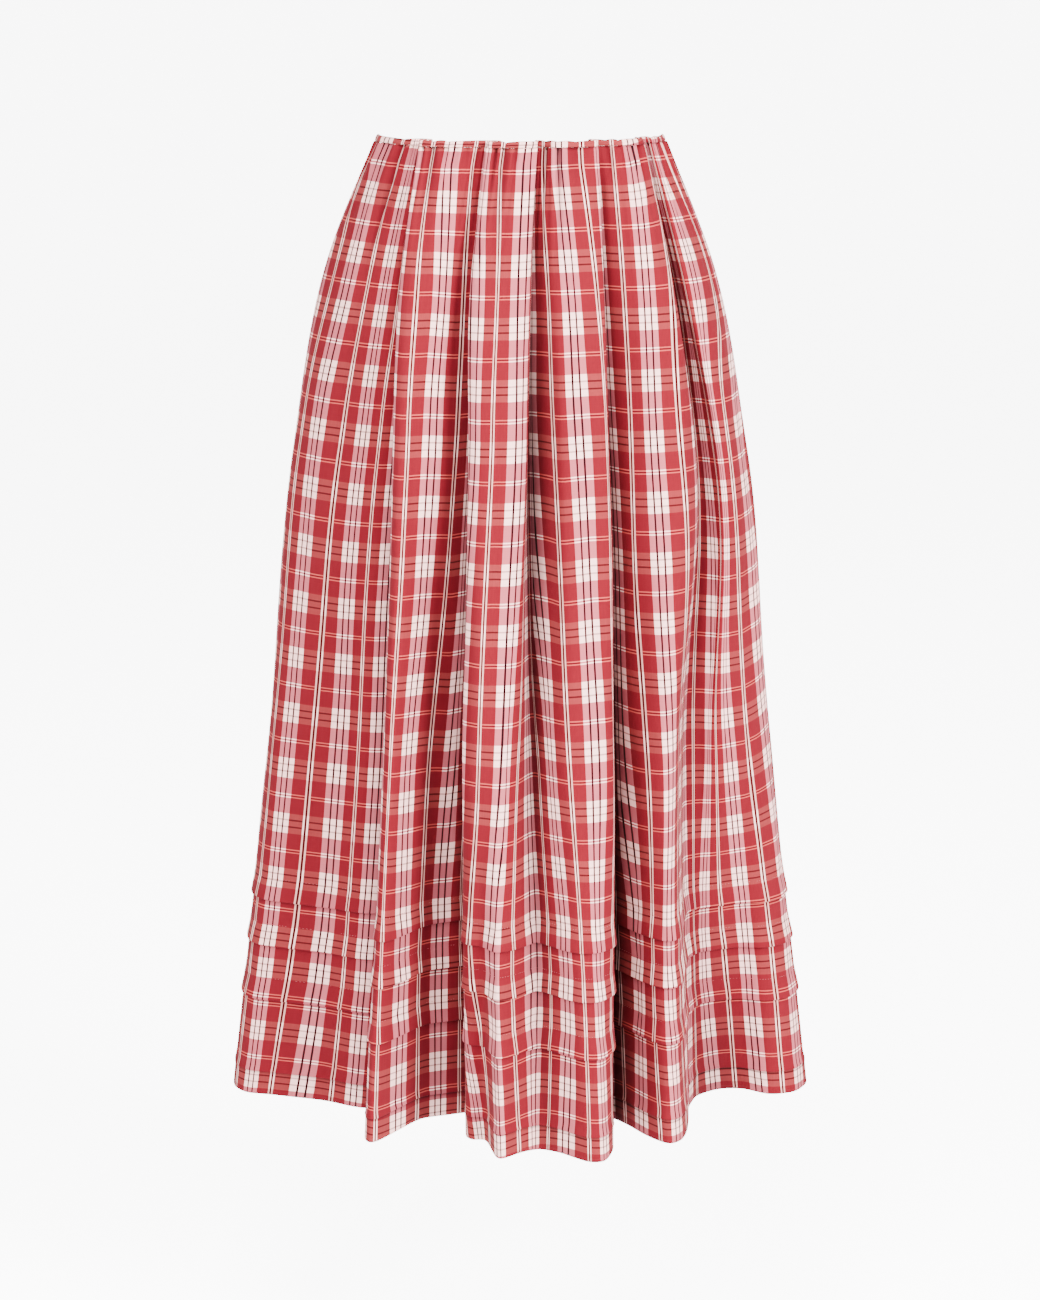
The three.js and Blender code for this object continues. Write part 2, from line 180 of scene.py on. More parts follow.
# How far the stripes of the front stand off the cloth line's own places, as the small gathers take up
# cloth unevenly: cloth past the left seam, shift at each level but the hem, where there is none
WEAVE_SHIFT = (
    (0, (8, -4, -4, -4, -4, -2)),
    (24, (15, -14, -6, -8, -6, -4)),
    (62, (0, -15, -11, -12, -10, -8)),
    (97, (-14, -25, -23, -21, -17, -13)),
    (128, (-30, -31, -26, -20, -20, -13)),
    (152, (-35, -35, -23, -15, -14, -8)),
    (246, (1, 0, 3, 4, 1, 0)),
    (268, (-4, -9, -7, -4, 2, 3)),
    (294, (-3, -18, -14, -10, 0, 0)),
    (330, (-20, -31, -27, -20, -5, 3)),
    (358, (-32, -41, -38, -27, -15, -4)),
    (452, (31, 26, 24, 33, 36, 43)),
    (470, (27, 14, 16, 23, 28, 37)),
    (492, (20, 5, 9, 14, 18, 25)),
    (540, (-8, -13, -14, -12, -9, 4)),
    (560, (-17, -19, -18, -16, -4, 6)),
    (600, (42, 32, 32, 24, -2, -14)),
    (634, (30, 18, 17, 10, 1, -10)),
    (668, (16, 7, 5, 0, -4, -3)),
    (695, (15, 6, -1, -3, -8, 4)),
    (790, (43, 38, 36, 30, 28, 10)),
    (812, (30, 31, 32, 31, 18, 3)),
    (840, (18, 25, 28, 22, 9, 9)),
    (866, (5, 19, 23, 15, 1, 8)),
    (896, (-11, -1, 10, 5, -8, 12)),
    (950, (15, 15, 34, 33, 21, 8)),
    (975, (20, 18, 37, 26, 15, 12)),
    (1000, (24, 20, 38, 16, 4, 14)),
    (1030, (27, 21, 44, 44, 26, 11)),
    (1056, (14, 12, 37, 38, 27, 13)),
    (1086, (-4, -3, 24, 27, 14, 3)),
    (1116, (-19, -8, 5, 8, -2, -9)),
    (1152, (0, 0, 0, 0, 0, 0)),
)

# How far the weft of the front has sagged or risen off its even place: cloth past the left seam, shift at
# each of the same levels
WEFT_SHIFT = (
    (0, (6, 7, 5, 2, 0, -1, -3)),
    (60, (5, 7, 5, 2, 1, 0, -2)),
    (115, (3, 6, 4, 1, 2, 0, -2)),
    (260, (2, 3, 2, 1, 0, -4, -6)),
    (300, (2, 3, 2, 0, -3, -8, -10)),
    (345, (2, 0, -1, -4, -8, -9, -9)),
    (470, (2, 1, 0, -1, -3, -8, -9)),
    (540, (2, 1, 0, -2, -4, -6, -5)),
    (640, (5, 4, 2, -2, -1, -1, 0)),
    (680, (6, 5, 4, 2, -1, -3, -1)),
    (815, (5, 5, 3, 0, -2, -1, 0)),
    (850, (6, 6, 5, 2, 0, 0, -1)),
    (890, (9, 7, 5, 4, 3, 1, 1)),
    (1050, (9, 9, 7, 4, 3, 4, 0)),
    (1100, (9, 9, 8, 9, 10, 5, -1)),
    (1152, (8, 9, 8, 9, 9, 4, -1)),
)


def fold_knots() -> tuple[np.ndarray, np.ndarray, np.ndarray]:
    """Cloth place of every fold line, and its x and y at the five levels.

    Returns:
        cloth (k,), x (k, 5) and y (k, 5) in millimetres. The back lines lie on an oval
        (a cos t, b sin t), moved in along its normal by their depth.
    """
    front_s = np.array([row[1] for row in FRONT_FOLDS], float)
    front_x = np.array([row[2] for row in FRONT_FOLDS], float)
    front_y = -np.array([row[3] for row in FRONT_FOLDS], float)
    back_s = FRONT_CLOTH + np.array([row[1] for row in BACK_FOLDS], float)
    waist = np.array([row[2] for row in BACK_FOLDS], float)[:, None]
    hem = np.array([row[3] for row in BACK_FOLDS], float)[:, None]
    depth = np.array([row[4] for row in BACK_FOLDS], float)
    share = waist + (hem - waist) * LEVELS / LENGTH
    c, s = np.cos(np.pi * share), np.sin(np.pi * share)
    size = np.hypot(BACK_DEPTH * c, BACK_HALF_WIDTH * s)
    seam = np.where(share < 0.5, RIGHT_SEAM_BACK, LEFT_SEAM_BACK)
    back_x = BACK_HALF_WIDTH * c - depth * BACK_DEPTH * c / size
    back_y = BACK_DEPTH * s - depth * BACK_HALF_WIDTH * s / size + seam * c * c
    return (
        np.concatenate([front_s, back_s]),
        np.concatenate([front_x, back_x]),
        np.concatenate([front_y, back_y]),
    )


def between_levels(values: np.ndarray, drop: np.ndarray, levels: np.ndarray = LEVELS) -> np.ndarray:
    """A smooth curve through the levels, with the slope at each level from its two neighbours.

    Args:
        values: (k, levels) values at the levels.
        drop: (m,) drops below the waist.
        levels: the drops that the values belong to.
    Returns:
        (m, k) values.
    """
    rise = np.diff(values, axis=1) / np.diff(levels)
    step = np.diff(levels)
    slope = np.empty_like(values)
    slope[:, 0], slope[:, -1] = rise[:, 0], rise[:, -1]
    slope[:, 1:-1] = (rise[:, :-1] * step[1:] + rise[:, 1:] * step[:-1]) / (step[1:] + step[:-1])
    k = np.clip(np.searchsorted(levels, drop, side="right") - 1, 0, len(levels) - 2)
    span = step[k]
    t = (drop - levels[k]) / span
    v = values.T
    m = slope.T
    h = [2 * t**3 - 3 * t**2 + 1, t**3 - 2 * t**2 + t, 3 * t**2 - 2 * t**3, t**3 - t**2]
    return (
        h[0][:, None] * v[k]
        + (h[1] * span)[:, None] * m[k]
        + h[2][:, None] * v[k + 1]
        + (h[3] * span)[:, None] * m[k + 1]
    )


def weave_shift(table: Sequence[tuple], cloth: np.ndarray, drop: np.ndarray) -> np.ndarray:
    """Shift of the weave at each place of the cloth line and each drop, from one of the two tables.

    Args:
        table: rows of a cloth place and its shifts at the levels, none at the hem where it isn't given.
        cloth: (n,) places along the cloth line.
        drop: (m,) drops.
    Returns:
        (m, n) shifts in millimetres, straight between the places, smooth between the levels.
    """
    places = np.array([row[0] for row in table], float)
    shifts = np.array([(*row[1], 0)[: len(WEAVE_LEVELS)] for row in table], float)
    rows = between_levels(shifts, np.clip(drop, WEAVE_LEVELS[0], LENGTH), WEAVE_LEVELS)
    return np.stack([np.interp(cloth, places, row, right=0.0) for row in rows])


@dataclass
class Drape:
    """The hanging form of the cloth, as a function of the place on the cloth and the drop.

    Attributes:
        rounding: length of cloth over which a fold turns, in millimetres.
        taps: how many places of that length are averaged.
        knots: the fold lines' cloth places, and their x and y at the levels.
    """

    rounding: float = ROUNDING
    taps: int = 13
    knots: tuple[np.ndarray, np.ndarray, np.ndarray] = field(default_factory=fold_knots)

    def plan(self, cloth: np.ndarray, drop: np.ndarray) -> tuple[np.ndarray, np.ndarray]:
        """Plan point of each cloth place at each drop: straight between fold lines, then averaged along
        the cloth with weights that fall off evenly to both sides.

        Args:
            cloth: (n,) places along the cloth.
            drop: (m,) drops.
        Returns:
            x and y, each (m, n).
        """
        places, xs, ys = self.knots
        places = np.append(places, WHOLE_CLOTH)
        x_rows = between_levels(np.vstack([xs, xs[:1]]), drop)
        y_rows = between_levels(np.vstack([ys, ys[:1]]), drop)
        x = np.zeros((len(drop), len(cloth)))
        y = np.zeros_like(x)
        offsets = np.linspace(-1, 1, self.taps + 2)[1:-1]
        weights = (1 - np.abs(offsets)) / np.sum(1 - np.abs(offsets))
        for offset, weight in zip(offsets, weights):
            q = np.mod(cloth + offset * self.rounding, WHOLE_CLOTH)
            i = np.clip(np.searchsorted(places, q, side="right") - 1, 0, len(places) - 2)
            t = (q - places[i]) / (places[i + 1] - places[i])
            x += weight * (x_rows[:, i] * (1 - t) + x_rows[:, i + 1] * t)
            y += weight * (y_rows[:, i] * (1 - t) + y_rows[:, i + 1] * t)
        return x, y

    @staticmethod
    def dip(y: np.ndarray, drop: np.ndarray) -> np.ndarray:
        """How much lower than its drop the back hangs: most at the middle of the waist, fading as the
        square of what is left of the reach."""
        share = np.clip(y / BACK_DEPTH[0], 0, 1)
        return BACK_DIP * share * np.clip(1 - drop / DIP_REACH, 0, 1) ** 2

    def ripple(self, cloth: np.ndarray, drop: np.ndarray) -> np.ndarray:
        """Small relief of the cloth, outward in millimetres, as (m, n): the gathers under the waist fade
        as a half cosine of the drop, the long creases as a bell across and along, and a slow unevenness
        is a sum of sines of both places.

        Args:
            cloth: (n,) places along the cloth.
            drop: (m,) drops.
        """
        s, h = cloth[None, :], drop[:, None]
        out = np.zeros((len(drop), len(cloth)))
        for shift, sign in ((0.0, 1.0), (BACK_SHIFT, 0.9)):
            for place, half, depth, foot in GATHERS:
                across = np.exp(-(((s - place * sign - shift) / (half * (1 + h / 260))) ** 2))
                fade = np.where(h < foot, 0.5 + 0.5 * np.cos(np.pi * np.clip(h / foot, 0, 1)), 0)
                out -= 1.8 * depth * across * fade
            for place, lean, half, depth, top, foot in CREASES:
                along = np.clip((h - top) / (foot - top), 0, 1)
                across = np.exp(-(((s - place * sign - shift - lean * along) / half) ** 2))
                out -= 0.75 * depth * across * np.sin(np.pi * along) ** 1.5
        turn = 2 * np.pi / WHOLE_CLOTH
        pinch = np.exp(-h / 38) + 0.35 * np.exp(-h / 120)
        out += pinch * np.sin(151 * turn * s + 1.5 * np.sin(19 * turn * s) + h / 90)
        out += 0.5 * np.sin(23 * turn * s + h / 71) * np.sin(h / 97 + 0.7)
        out += 0.35 * np.sin(41 * turn * s - h / 53 + 1.9) * np.sin(h / 61 + 3 * turn * s)
        return out * np.clip(h / 12 + 0.4, 0, 1)

    def painted_fold_shade(self, cloth: np.ndarray, drop: np.ndarray) -> np.ndarray:
        """Painted shade of each place, 0 to 1, stronger the deeper it lies in a fold or a gather: its
        distance in from the same line averaged over a wide length of cloth, measured along that line's
        normal, and its relief.

        Args:
            cloth: (n,) places along the cloth.
            drop: (m,) drops.
        Returns:
            (m, n) shares.
        """
        wide = Drape(rounding=100.0, knots=self.knots)
        x, y = self.plan(cloth, drop)
        xw, yw = wide.plan(cloth, drop)
        xa, ya = wide.plan(cloth - 20, drop)
        xb, yb = wide.plan(cloth + 20, drop)
        size = np.hypot(xb - xa, yb - ya)
        out = ((x - xw) * (yb - ya) - (y - yw) * (xb - xa)) / size
        # Painted shade in the grooves of the gathers and creases, added to that of the folds
        painted_crease_shade = 0.8 * np.clip((-self.ripple(cloth, drop) - 1.2) / 5, 0, 1)
        return np.clip(np.clip(-(out + 1) / 18, 0, 1) + painted_crease_shade, 0, 1)

    def points(self, cloth: np.ndarray, drop: np.ndarray, lift: np.ndarray) -> np.ndarray:
        """Points of the cloth, moved out across it.

        Args:
            cloth: (n,) places along the cloth.
            drop: (m,) drops.
            lift: (m, n) or (m, 1) distance out from the cloth line.
        Returns:
            (m, n, 3) in metres.
        """
        x, y = self.plan(cloth, drop)
        xa, ya = self.plan(cloth - 4, drop)
        xb, yb = self.plan(cloth + 4, drop)
        size = np.hypot(xb - xa, yb - ya)
        out = lift + self.ripple(cloth, drop)
        z = -drop[:, None] - self.dip(y, drop[:, None])
        return np.stack([x + out * (yb - ya) / size, y - out * (xb - xa) / size, z], -1) * MM


class Side(Enum):
    """The two straight-cut panels of the skirt, by where their cloth starts."""

    FRONT = 0.0
    BACK = FRONT_CLOTH


def panel_columns(side: Side, column: float) -> np.ndarray:
    """Cloth places of a panel's columns of points, from seam to seam.

    Args:
        side: front or back.
        column: cloth between two columns.
    """
    start = side.value + SEAM_GAP
    end = side.value + FRONT_CLOTH - SEAM_GAP
    return np.linspace(start, end, int(FRONT_CLOTH / column))


def grid_faces(rows: int, columns: int, first: int, turned: bool = False) -> np.ndarray:
    """Quads of a grid whose rows run down and whose columns run to the right, facing the viewer.

    Args:
        rows: rows of points.
        columns: points in a row.
        first: number of the first point.
        turned: True to face the other way.
    """
    i = np.arange(columns - 1)[None, :]
    j = np.arange(rows - 1)[:, None]
    a = first + j * columns + i
    quads = np.stack([a + columns, a + columns + 1, a + 1, a], -1).reshape(-1, 4)
    return quads[:, ::-1] if turned else quads


def strip_faces(a: np.ndarray, b: np.ndarray) -> np.ndarray:
    """Quads between two lines of point numbers, b on the left of a as it runs."""
    return np.stack([a[:-1], a[1:], b[1:], b[:-1]], -1)


def make_mesh(
    name: str,
    points: np.ndarray,
    faces: np.ndarray,
    places: np.ndarray,
    material: bpy.types.Material,
    painted_fold_shade: np.ndarray | None = None,
) -> bpy.types.Object:
    """One object from whole arrays, with its cloth places as a UV map in metres.

    Args:
        name: the piece's name.
        points: (p, 3) in metres.
        faces: (f, 4) point numbers.
        places: (p, 2) cloth place of each point, in metres.
        material: the finish.
        painted_fold_shade: (p,) painted shade of each point, stronger the deeper it lies in a fold, where
            that is known.
    """
    mesh = bpy.data.meshes.new(name)
    mesh.vertices.add(len(points))
    mesh.vertices.foreach_set("co", points.astype(np.float32).ravel())
    mesh.loops.add(faces.size)
    mesh.loops.foreach_set("vertex_index", faces.astype(np.int32).ravel())
    mesh.polygons.add(len(faces))
    mesh.polygons.foreach_set("loop_start", np.arange(0, faces.size, 4, dtype=np.int32))
    mesh.polygons.foreach_set("use_smooth", np.ones(len(faces), dtype=bool))
    mesh.update(calc_edges=True)
    mesh.validate()
    uv = mesh.uv_layers.new(name="cloth")
    uv.data.foreach_set("uv", places[faces.ravel()].astype(np.float32).ravel())
    # Painted shade, stored per point, which the cotton finish multiplies into its colour
    if painted_fold_shade is not None:
        shade = mesh.attributes.new("painted_fold_shade", "FLOAT", "POINT")
        shade.data.foreach_set("value", painted_fold_shade.astype(np.float32))
    mesh.materials.append(material)
    piece = bpy.data.objects.new(name, mesh)
    bpy.context.scene.collection.objects.link(piece)
    return piece


def cloth_shell(
    name: str,
    drape: Drape,
    cloth: np.ndarray,
    drop: np.ndarray,
    lift: np.ndarray,
    thick: float,
    weft: np.ndarray,
    material: bpy.types.Material,
    under: float = NO_LEDGE,
) -> bpy.types.Object:
    """A closed thin wall of cloth: an outer grid, an inner grid one thickness in, and four edges.

    Args:
        name: the piece's name.
        drape: the hanging form.
        cloth: (n,) cloth places, left to right.
        drop: (m,) drops, downwards.
        lift: (m,) or (m, n) distance of the outer face out from the cloth line.
        thick: wall in millimetres.
        weft: (m,) weft place of each row, in millimetres.
        material: the finish.
        under: drop of the ledge that this piece comes out from, where there is one, with a painted shadow
            line just below it.
    """
    lift = lift if lift.ndim == 2 else np.broadcast_to(lift[:, None], (len(drop), len(cloth)))
    m, n = lift.shape
    ease = np.minimum(1, np.minimum(np.arange(m), np.arange(m)[::-1]))[:, None]
    outer = drape.points(cloth, drop, lift - 0.3 * thick * (1 - ease))
    inner = drape.points(cloth, drop, lift - thick + 0.3 * thick * (1 - ease))
    number = np.arange(m * n).reshape(m, n)
    faces = np.concatenate(
        [
            grid_faces(m, n, 0),
            grid_faces(m, n, m * n, turned=True),
            strip_faces(number[0], number[0] + m * n),
            strip_faces(number[-1] + m * n, number[-1]),
            strip_faces(number[:, 0] + m * n, number[:, 0])[:, ::-1],
            strip_faces(number[:, -1], number[:, -1] + m * n)[:, ::-1],
        ]
    )
    u = cloth + weave_shift(WEAVE_SHIFT, cloth, drop)
    v = weft[:, None] + weave_shift(WEFT_SHIFT, cloth, drop)
    places = np.stack([u, v], -1).reshape(-1, 2) * MM
    points = np.concatenate([outer.reshape(-1, 3), inner.reshape(-1, 3)])
    # Painted shadow: a dark band just below the ledge above, added to the painted fold shade
    ledge = np.clip((under + LEDGE_PAINTED_SHADOW_FOOT - drop) / LEDGE_PAINTED_SHADOW_FADE, 0, 1)[:, None]
    painted_fold_shade = np.tile(np.clip(drape.painted_fold_shade(cloth, drop) + ledge, 0, 1).ravel(), 2)
    return make_mesh(name, points, faces, np.concatenate([places, places]), material, painted_fold_shade)


def socket(group: bpy.types.NodeTree, name: str, kind: str, out: bool = False, value: object = None):
    """A new input or output on a node group, with its first value."""
    made = group.interface.new_socket(name=name, in_out="OUTPUT" if out else "INPUT", socket_type=kind)
    if value is not None:
        made.default_value = value
    return made


class Wiring:
    """Short ways to set nodes into a tree.

    Args:
        tree: the node tree to fill.
    """

    def __init__(self, tree: bpy.types.NodeTree) -> None:
        self.tree = tree

    def node(self, kind: str, **values: object) -> bpy.types.Node:
        """A node of that kind with its own settings."""
        made = self.tree.nodes.new(kind)
        for name, value in values.items():
            setattr(made, name, value)
        return made

    def put(self, target: bpy.types.NodeSocket, value: object) -> None:
        """Links a socket, or sets a plain value."""
        if isinstance(value, bpy.types.NodeSocket):
            self.tree.links.new(value, target)
        else:
            target.default_value = value

    def math(self, operation: str, a: object, b: object = 0.0, c: object = 0.0) -> bpy.types.NodeSocket:
        """The result of one sum."""
        made = self.node("ShaderNodeMath", operation=operation)
        for target, value in zip(made.inputs, (a, b, c)):
            self.put(target, value)
        return made.outputs[0]

    def band(self, place: object, low: float, high: float, soft: float = 0.12) -> bpy.types.NodeSocket:
        """1 where a place lies between two marks, with a soft edge, and 0 elsewhere, all in millimetres."""
        ends = []
        for start, end in ((low - soft, low + soft), (high + soft, high - soft)):
            made = self.node("ShaderNodeMapRange", clamp=True)
            for target, value in zip(made.inputs, (place, start, end, 0.0, 1.0)):
                self.put(target, value)
            ends.append(made.outputs[0])
        return self.math("MULTIPLY", ends[0], ends[1])

    def mix(self, factor: object, a: object, b: object) -> bpy.types.NodeSocket:
        """Colour a where the factor is 0, colour b where it is 1."""
        made = self.node("ShaderNodeMix", data_type="RGBA")
        self.put(made.inputs[0], factor)
        self.put(made.inputs[6], a)
        self.put(made.inputs[7], b)
        return made.outputs[2]

    def dull(self, colour: object, share: object) -> bpy.types.NodeSocket:
        """A colour times a share of its light."""
        made = self.node("ShaderNodeVectorMath", operation="SCALE")
        self.put(made.inputs[0], colour)
        self.put(made.inputs["Scale"], share)
        return made.outputs[0]


@dataclass(frozen=True)
class Plaid:
    """The woven check: its repeat and the place of each stripe, in millimetres from the middle of a band.

    Attributes:
        warp_repeat: repeat across the panel.
        warp_start: place of the first light band past the left seam.
        weft_repeat: repeat down the panel.
        band_half: half the width of a light band.
        line_at: from the middle of a band to the dark line on each side of it.
        line_half: half the width of a dark line.
        yarn_pair: width of two yarns.
        red: of the ground.
        pink: of a warp band over the ground.
        salmon: of a weft band over the ground.
        cream: of the crossing of two bands.
        white_line: of the paired warp lines over the ground.
        light_line: of the paired weft lines over the ground.
        grey_line: of a dark weft line over a warp band.
        dark_red: of a dark weft line over the ground, and of the gap in a pair.
        plum: of a dark warp line.
    """

    warp_repeat: float = 48.0
    warp_start: float = 51.0
    weft_repeat: float = 50.0
    band_half: float = 9.0
    line_at: float = 3.1
    line_half: float = 0.78
    yarn_pair: float = 0.8
    red: tuple = (0.085, 0.0031, 0.0066, 1)
    pink: tuple = (0.25, 0.055, 0.066, 1)
    salmon: tuple = (0.125, 0.0135, 0.0148, 1)
    cream: tuple = (0.62, 0.35, 0.32, 1)
    white_line: tuple = (0.42, 0.19, 0.17, 1)
    light_line: tuple = (0.25, 0.03, 0.027, 1)
    grey_line: tuple = (0.11, 0.045, 0.05, 1)
    dark_red: tuple = (0.028, 0.001, 0.0018, 1)
    plum: tuple = (0.012, 0.001, 0.002, 1)

    def stripes(self, w: Wiring, u: bpy.types.NodeSocket, v: bpy.types.NodeSocket) -> bpy.types.NodeSocket:
        """Colour of the stripes.

        The distance from the nearest light band is a folded ramp of the cloth place over half a repeat.
        Bands, dark lines and thin lines are marks on that distance, across for the warp and down for the
        weft, and each crossing has its own mixed colour.

        Args:
            w: the tree to fill.
            u: cloth place across, in millimetres.
            v: cloth place down, in millimetres.
        """
        half_warp, half_weft = self.warp_repeat / 2, self.weft_repeat / 2
        warp = w.math("PINGPONG", w.math("ADD", u, 4 * self.warp_repeat - self.warp_start), half_warp)
        weft = w.math("PINGPONG", w.math("ADD", v, 4 * self.weft_repeat), half_weft)
        low, high = self.line_at - self.line_half, self.line_at + self.line_half
        white = w.band(warp, -1, self.band_half)
        light = w.band(weft, -1, self.band_half)
        warp_line = w.band(warp, low, high)
        weft_line = w.band(weft, low + 0.1, high - 0.1)
        pair_warp = w.band(warp, half_warp - 2.25, half_warp - 0.85)
        pair_dark = w.band(warp, half_warp - 0.85, half_warp + 1)
        pair_weft = w.band(weft, half_weft - 1.8, half_weft - 0.7)
        weft_gap = w.band(weft, half_weft - 0.6, half_weft + 1)
        base = w.mix(white, w.mix(light, self.red, self.salmon), w.mix(light, self.pink, self.cream))
        base = w.mix(pair_weft, base, w.mix(white, self.light_line, self.cream))
        base = w.mix(w.math("MULTIPLY", weft_gap, 0.5), base, w.mix(white, self.dark_red, self.pink))
        strength = w.math("MULTIPLY", weft_line, w.math("MULTIPLY_ADD", white, -0.25, 0.9))
        base = w.mix(strength, base, w.mix(white, self.dark_red, self.grey_line))
        base = w.mix(warp_line, base, self.plum)
        base = w.mix(pair_dark, base, self.dark_red)
        return w.mix(w.math("MULTIPLY", pair_warp, 0.92), base, w.mix(light, self.white_line, self.cream))

    @staticmethod
    def slubs(w: Wiring, place: bpy.types.NodeSocket) -> bpy.types.NodeSocket:
        """Unevenness of the yarns, 0 to 2: one noise drawn out along the warp and one along the weft."""
        tones = []
        for across, down in ((1400.0, 6.0), (6.0, 1400.0)):
            stretch = w.node("ShaderNodeVectorMath", operation="MULTIPLY")
            w.put(stretch.inputs[0], place)
            stretch.inputs[1].default_value = (across, down, 1.0)
            slub = w.node("ShaderNodeTexNoise")
            w.put(slub.inputs["Vector"], stretch.outputs[0])
            slub.inputs["Scale"].default_value = 1.0
            slub.inputs["Detail"].default_value = 1.0
            tones.append(slub.outputs[0])
        return w.math("ADD", tones[0], tones[1])

    def group(self) -> bpy.types.NodeTree:
        """The check as a group: cloth place in, colour and yarn relief out. The relief is a product of
        two sines of the cloth place, one yarn to each half wave, and the slubs."""
        tree = bpy.data.node_groups.new("woven plaid", "ShaderNodeTree")
        socket(tree, "Place", "NodeSocketVector")
        socket(tree, "Colour", "NodeSocketColor", out=True)
        socket(tree, "Yarn", "NodeSocketFloat", out=True)
        w = Wiring(tree)
        source, target = w.node("NodeGroupInput"), w.node("NodeGroupOutput")
        parts = w.node("ShaderNodeSeparateXYZ")
        w.put(parts.inputs[0], source.outputs["Place"])
        u = w.math("MULTIPLY", parts.outputs[0], 1000.0)
        v = w.math("MULTIPLY", parts.outputs[1], 1000.0)
        tone = self.slubs(w, source.outputs["Place"])
        over = w.math("SINE", w.math("MULTIPLY", u, 2 * math.pi / self.yarn_pair))
        under = w.math("SINE", w.math("MULTIPLY", v, 2 * math.pi / self.yarn_pair))
        share = w.math("MULTIPLY_ADD", tone, 0.16, 0.84)
        w.put(target.inputs["Colour"], w.dull(self.stripes(w, u, v), share))
        w.put(target.inputs["Yarn"], w.math("MULTIPLY_ADD", w.math("MULTIPLY", over, under), 0.5, tone))
        return tree


@dataclass(frozen=True)
class Cotton:
    """The matt plain-woven cotton.

    Attributes:
        roughness: of the yarn.
        sheen: fuzz of the surface.
        relief: height of the yarn in metres.
        painted_shade_strength: share of the colour that is darkened as painted shade in the deepest folds.
    """

    roughness: float = 0.85
    sheen: float = 0.01
    relief: float = 0.00008
    painted_shade_strength: float = 0.72

    def material(self, name: str, plaid: bpy.types.NodeTree) -> bpy.types.Material:
        """The finish of every piece of the skirt, on its own cloth places."""
        made = bpy.data.materials.new(name)
        made.use_nodes = True
        w = Wiring(made.node_tree)
        shader = made.node_tree.nodes["Principled BSDF"]
        places = w.node("ShaderNodeUVMap", uv_map="cloth")
        check = w.node("ShaderNodeGroup", node_tree=plaid)
        w.put(check.inputs["Place"], places.outputs[0])
        bump = w.node("ShaderNodeBump")
        bump.inputs["Strength"].default_value = 0.35
        bump.inputs["Distance"].default_value = self.relief
        w.put(bump.inputs["Height"], check.outputs["Yarn"])
        # Painted shade: the colour is darkened by the fold shade attribute, in folds, gather creases and
        # under each ledge
        fold = w.node("ShaderNodeAttribute", attribute_name="painted_fold_shade").outputs["Fac"]
        painted_shade_keep = w.math("MULTIPLY_ADD", w.math("POWER", fold, 1.2), -self.painted_shade_strength, 1.0)
        w.put(shader.inputs["Base Color"], w.dull(check.outputs["Colour"], painted_shade_keep))
        w.put(shader.inputs["Normal"], bump.outputs[0])
        shader.inputs["Roughness"].default_value = self.roughness
        shader.inputs["Sheen Weight"].default_value = self.sheen
        shader.inputs["Sheen Roughness"].default_value = 0.5
        shader.inputs["Specular IOR Level"].default_value = 0.04
        return made


@dataclass(frozen=True)
class Plain:
    """A plain matt finish, such as sewing thread or a studio floor.

    Attributes:
        tint: its colour.
        roughness: of the surface.
        glow: its own light, which shows to the camera only.
    """

    tint: tuple = (0.16, 0.012, 0.016, 1)
    roughness: float = 0.7
    glow: float = 0.0

    def material(self, name: str) -> bpy.types.Material:
        """The finish under that name."""
        made = bpy.data.materials.new(name)
        made.use_nodes = True
        shader = made.node_tree.nodes["Principled BSDF"]
        shader.inputs["Base Color"].default_value = self.tint
        shader.inputs["Roughness"].default_value = self.roughness
        if self.glow:
            w = Wiring(made.node_tree)
            w.put(shader.inputs["Emission Color"], w.node("ShaderNodeLightPath").outputs["Is Camera Ray"])
            shader.inputs["Emission Strength"].default_value = self.glow
        return made


